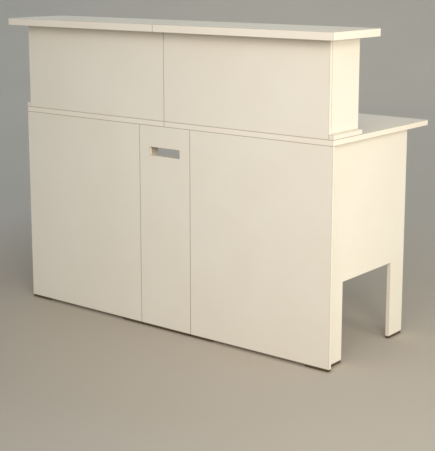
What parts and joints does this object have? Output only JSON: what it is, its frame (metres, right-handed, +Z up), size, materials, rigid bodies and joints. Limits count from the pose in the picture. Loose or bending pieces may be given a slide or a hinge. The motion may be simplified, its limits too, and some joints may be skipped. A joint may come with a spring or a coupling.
{
  "type": "folding bar counter",
  "caption": "Portable bar counter with a folding panelled stand, worktop in halves and a raised bar top over open shelf units.",
  "frame": {"origin": "on the floor under the middle of the whole counter", "axes": "+Z up, +X along the front to the customer's right, +Y from the customer to the barkeeper"},
  "size_m": [1.596, 0.734, 1.203],
  "materials": {
    "cream_board": "cream white melamine faced chipboard, satin, edges banded to match",
    "top_board": "cream white melamine faced chipboard, satin, edges banded to match",
    "dark_glide": "dark brown moulded plastic, matt",
    "zinc_steel": "zinc plated steel",
    "beech_dowel": "plain beech, fluted"
  },
  "bodies": {
    "centre_column": {"centre_panel": "cream_board", "left_centre_rib": "cream_board", "right_centre_rib": "cream_board", "centre_rib_dowels": "beech_dowel", "worktop_locating_pins": "zinc_steel", "centre_glide": "dark_glide", "left_fold_hinge_fixed_leaves": "zinc_steel", "left_fold_hinge_pins": "zinc_steel", "left_fold_hinge_fixed_screws": "zinc_steel", "right_fold_hinge_fixed_leaves": "zinc_steel", "right_fold_hinge_pins": "zinc_steel", "right_fold_hinge_fixed_screws": "zinc_steel"},
    "left_wing": {"left_front_panel": "cream_board", "left_front_glides": "dark_glide", "left_fold_hinge_moving_leaves": "zinc_steel", "left_fold_hinge_moving_screws": "zinc_steel", "left_corner_hinge_fixed_leaves": "zinc_steel", "left_corner_hinge_pins": "zinc_steel", "left_corner_hinge_fixed_screws": "zinc_steel"},
    "left_side": {"left_side_panel": "cream_board", "left_side_glides": "dark_glide", "left_corner_hinge_moving_leaves": "zinc_steel", "left_corner_hinge_moving_screws": "zinc_steel"},
    "left_worktop_half": {"left_worktop": "top_board", "left_riser_pins": "zinc_steel"},
    "left_riser_unit": {"left_riser_base": "cream_board", "left_riser_front": "cream_board", "left_riser_inner_end": "cream_board", "left_riser_end": "cream_board", "left_riser_shelf": "cream_board", "left_shelf_pins": "zinc_steel", "left_riser_dowels": "beech_dowel", "left_bar_top": "top_board"},
    "right_wing": {"right_front_panel": "cream_board", "right_front_glides": "dark_glide", "right_fold_hinge_moving_leaves": "zinc_steel", "right_fold_hinge_moving_screws": "zinc_steel", "right_corner_hinge_fixed_leaves": "zinc_steel", "right_corner_hinge_pins": "zinc_steel", "right_corner_hinge_fixed_screws": "zinc_steel"},
    "right_side": {"right_side_panel": "cream_board", "right_side_glides": "dark_glide", "right_corner_hinge_moving_leaves": "zinc_steel", "right_corner_hinge_moving_screws": "zinc_steel"},
    "right_worktop_half": {"right_worktop": "top_board", "right_riser_pins": "zinc_steel"},
    "right_riser_unit": {"right_riser_base": "cream_board", "right_riser_front": "cream_board", "right_riser_inner_end": "cream_board", "right_riser_end": "cream_board", "right_riser_shelf": "cream_board", "right_shelf_pins": "zinc_steel", "right_riser_dowels": "beech_dowel", "right_bar_top": "top_board"}
  },
  "joints": [
    {"name": "left_wing_fold", "type": "hinge", "parent": "centre_column", "child": "left_wing", "pos_m": [-0.1275, -0.286, 0.411], "axis": [0, 0, -1], "range_deg": [0, 90]},
    {"name": "left_side_fold", "type": "hinge", "parent": "left_wing", "child": "left_side", "pos_m": [-0.722, -0.286, 0.411], "axis": [0, 0, -1], "range_deg": [0, 90]},
    {"name": "left_worktop_lift", "type": "slide", "parent": "centre_column", "child": "left_worktop_half", "axis": [0, 0, 1], "range_m": [0, 0.1]},
    {"name": "left_riser_lift", "type": "slide", "parent": "left_worktop_half", "child": "left_riser_unit", "axis": [0, 0, 1], "range_m": [0, 0.1]},
    {"name": "right_wing_fold", "type": "hinge", "parent": "centre_column", "child": "right_wing", "pos_m": [0.1275, -0.286, 0.411], "axis": [0, 0, 1], "range_deg": [0, 90]},
    {"name": "right_side_fold", "type": "hinge", "parent": "right_wing", "child": "right_side", "pos_m": [0.722, -0.286, 0.411], "axis": [0, 0, 1], "range_deg": [0, 90]},
    {"name": "right_worktop_lift", "type": "slide", "parent": "centre_column", "child": "right_worktop_half", "axis": [0, 0, 1], "range_m": [0, 0.1]},
    {"name": "right_riser_lift", "type": "slide", "parent": "right_worktop_half", "child": "right_riser_unit", "axis": [0, 0, 1], "range_m": [0, 0.1]}
  ]
}
